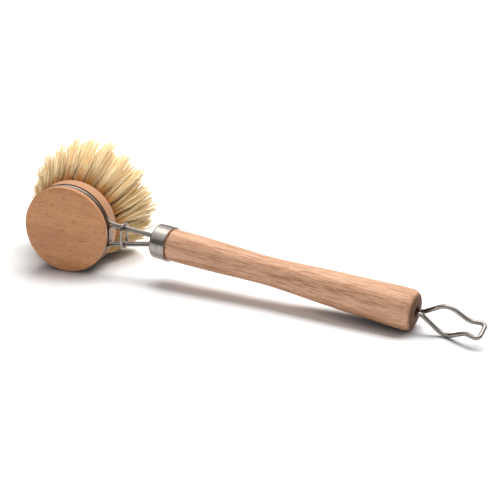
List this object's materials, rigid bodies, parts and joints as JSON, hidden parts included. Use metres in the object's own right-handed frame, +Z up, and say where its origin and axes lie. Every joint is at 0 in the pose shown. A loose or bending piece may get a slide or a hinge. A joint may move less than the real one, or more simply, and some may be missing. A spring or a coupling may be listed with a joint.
{
  "type": "dish brush",
  "caption": "Beech dish brush with a round exchangeable fibre head gripped in sprung wire bows, a sliding oval lock ring, a steel ferrule and a wire hang loop at the tail.",
  "frame": {"origin": "on the table under the middle of the whole brush, which lies on its head's rim and its handle's tail", "axes": "+X along the handle from the head to the hang loop, +Y towards the bristles' side, +Z up from the table"},
  "size_m": [0.2874, 0.054, 0.067],
  "materials": {
    "handle_beech": "waxed, fine grain along the handle",
    "head_beech": "waxed, flecked face grain",
    "ferrule_steel": "satin",
    "wire_steel": "drawn bright",
    "loop_steel": "drawn bright",
    "anchor_steel": "drawn",
    "plant_fibre": "natural plant fibre"
  },
  "bodies": {
    "handle_and_bows": {"handle": "handle_beech", "ferrule": "ferrule_steel", "hoop_wire": "wire_steel", "bridge_wire": "wire_steel"},
    "head": {"head_disc": "head_beech", "tuft_anchors": "anchor_steel", "tuft_centre_01": "plant_fibre", "tuft_inner_01": "plant_fibre", "tuft_inner_02": "plant_fibre", "tuft_inner_03": "plant_fibre", "tuft_inner_04": "plant_fibre", "tuft_inner_05": "plant_fibre", "tuft_inner_06": "plant_fibre", "tuft_inner_07": "plant_fibre", "tuft_middle_01": "plant_fibre", "tuft_middle_02": "plant_fibre", "tuft_middle_03": "plant_fibre", "tuft_middle_04": "plant_fibre", "tuft_middle_05": "plant_fibre", "tuft_middle_06": "plant_fibre", "tuft_middle_07": "plant_fibre", "tuft_middle_08": "plant_fibre", "tuft_middle_09": "plant_fibre", "tuft_middle_10": "plant_fibre", "tuft_middle_11": "plant_fibre", "tuft_middle_12": "plant_fibre", "tuft_middle_13": "plant_fibre", "tuft_middle_14": "plant_fibre", "tuft_outer_01": "plant_fibre", "tuft_outer_02": "plant_fibre", "tuft_outer_03": "plant_fibre", "tuft_outer_04": "plant_fibre", "tuft_outer_05": "plant_fibre", "tuft_outer_06": "plant_fibre", "tuft_outer_07": "plant_fibre", "tuft_outer_08": "plant_fibre", "tuft_outer_09": "plant_fibre", "tuft_outer_10": "plant_fibre", "tuft_outer_11": "plant_fibre", "tuft_outer_12": "plant_fibre", "tuft_outer_13": "plant_fibre", "tuft_outer_14": "plant_fibre", "tuft_outer_15": "plant_fibre", "tuft_outer_16": "plant_fibre", "tuft_outer_17": "plant_fibre", "tuft_outer_18": "plant_fibre", "tuft_outer_19": "plant_fibre", "tuft_outer_20": "plant_fibre", "tuft_outer_21": "plant_fibre"},
    "ring": {"lock_ring": "wire_steel"},
    "loop": {"hang_loop": "loop_steel"}
  },
  "joints": [
    {"name": "head_turn", "type": "hinge", "parent": "handle_and_bows", "child": "head", "pos_m": [-0.09617, -0.02302, 0.025], "axis": [-0.1668, 0.986, 0], "continuous": true},
    {"name": "ring_slide", "type": "slide", "parent": "handle_and_bows", "child": "ring", "axis": [0.9629, 0.2635, -0.0585], "range_m": [0, 0.0178]},
    {"name": "loop_turn", "type": "hinge", "parent": "handle_and_bows", "child": "loop", "pos_m": [0.10728, -0.00547, 0.01044], "axis": [0.9972, 0, -0.0747], "continuous": true}
  ]
}
